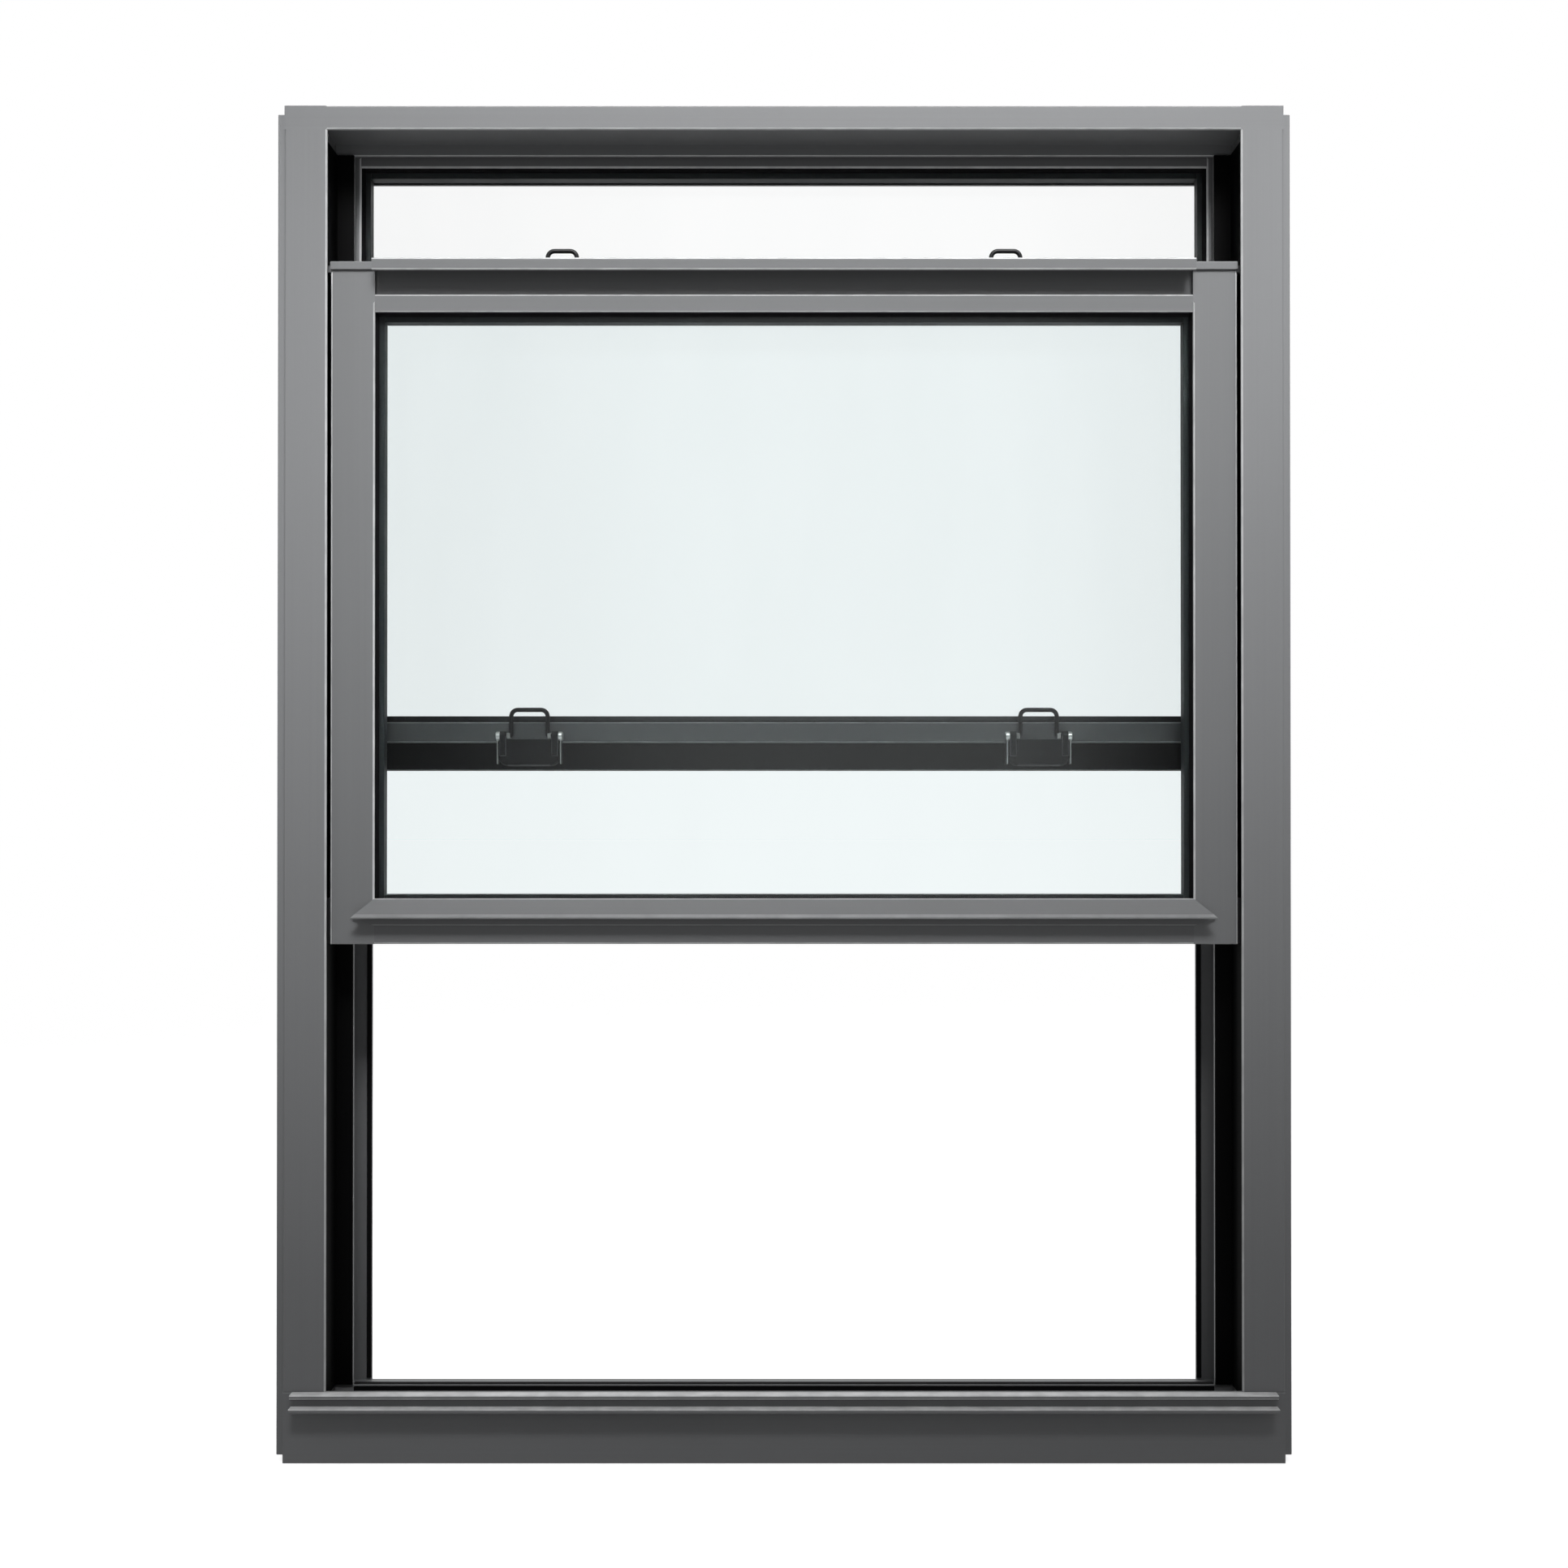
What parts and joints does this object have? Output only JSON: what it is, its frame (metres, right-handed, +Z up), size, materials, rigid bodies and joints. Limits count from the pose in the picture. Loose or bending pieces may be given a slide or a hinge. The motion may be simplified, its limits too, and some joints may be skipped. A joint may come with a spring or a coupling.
{
  "type": "double hung window",
  "caption": "Dark grey aluminium double hung window: a frame with side tracks, head, sill and stool nosing, and double-glazed sashes that slide up and down past each other.",
  "frame": {"origin": "middle of the sill's flat underside", "axes": "+X to the right seen from the room, +Y from the room to the weather side, +Z up"},
  "size_m": [0.89, 0.124, 1.19],
  "materials": {
    "frame_grey": "satin",
    "sash_grey": "satin",
    "glass": "gloss",
    "gasket_rubber": "matte",
    "spacer": "matte",
    "track_liner": "matte",
    "nylon": "matte",
    "catch_black": "satin"
  },
  "bodies": {
    "frame": {"left_jamb": "frame_grey", "right_jamb": "frame_grey", "left_track_liner": "track_liner", "right_track_liner": "track_liner", "left_track_facing": "track_liner", "right_track_facing": "track_liner", "head": "frame_grey", "sill": "frame_grey", "sill_nosing": "frame_grey"},
    "lower_sash": {"lower_left_stile": "sash_grey", "lower_right_stile": "sash_grey", "lower_left_stile_cap": "sash_grey", "lower_right_stile_cap": "sash_grey", "lower_left_shoe": "nylon", "lower_right_shoe": "nylon", "lower_top_rail": "sash_grey", "lower_bottom_rail": "sash_grey", "lower_lift_rail": "sash_grey", "lower_inner_pane": "glass", "lower_outer_pane": "glass", "lower_inner_gasket": "gasket_rubber", "lower_outer_gasket": "gasket_rubber", "lower_spacer": "spacer", "lower_left_catch": "catch_black", "lower_right_catch": "catch_black", "lower_left_bail": "catch_black", "lower_right_bail": "catch_black"},
    "upper_sash": {"upper_left_stile": "sash_grey", "upper_right_stile": "sash_grey", "upper_left_top_shoe": "nylon", "upper_right_top_shoe": "nylon", "upper_left_bottom_shoe": "nylon", "upper_right_bottom_shoe": "nylon", "upper_top_rail": "sash_grey", "upper_meeting_rail": "sash_grey", "upper_inner_pane": "glass", "upper_outer_pane": "glass", "upper_inner_gasket": "gasket_rubber", "upper_outer_gasket": "gasket_rubber", "upper_spacer": "spacer", "upper_left_catch": "catch_black", "upper_right_catch": "catch_black", "upper_left_bail": "catch_black", "upper_right_bail": "catch_black"}
  },
  "joints": [
    {"name": "lower_sash_slide", "type": "slide", "parent": "frame", "child": "lower_sash", "axis": [0, 0, 1], "range_m": [-0.404, 0.09]},
    {"name": "upper_sash_slide", "type": "slide", "parent": "frame", "child": "upper_sash", "axis": [0, 0, -1], "range_m": [0, 0.494]}
  ]
}
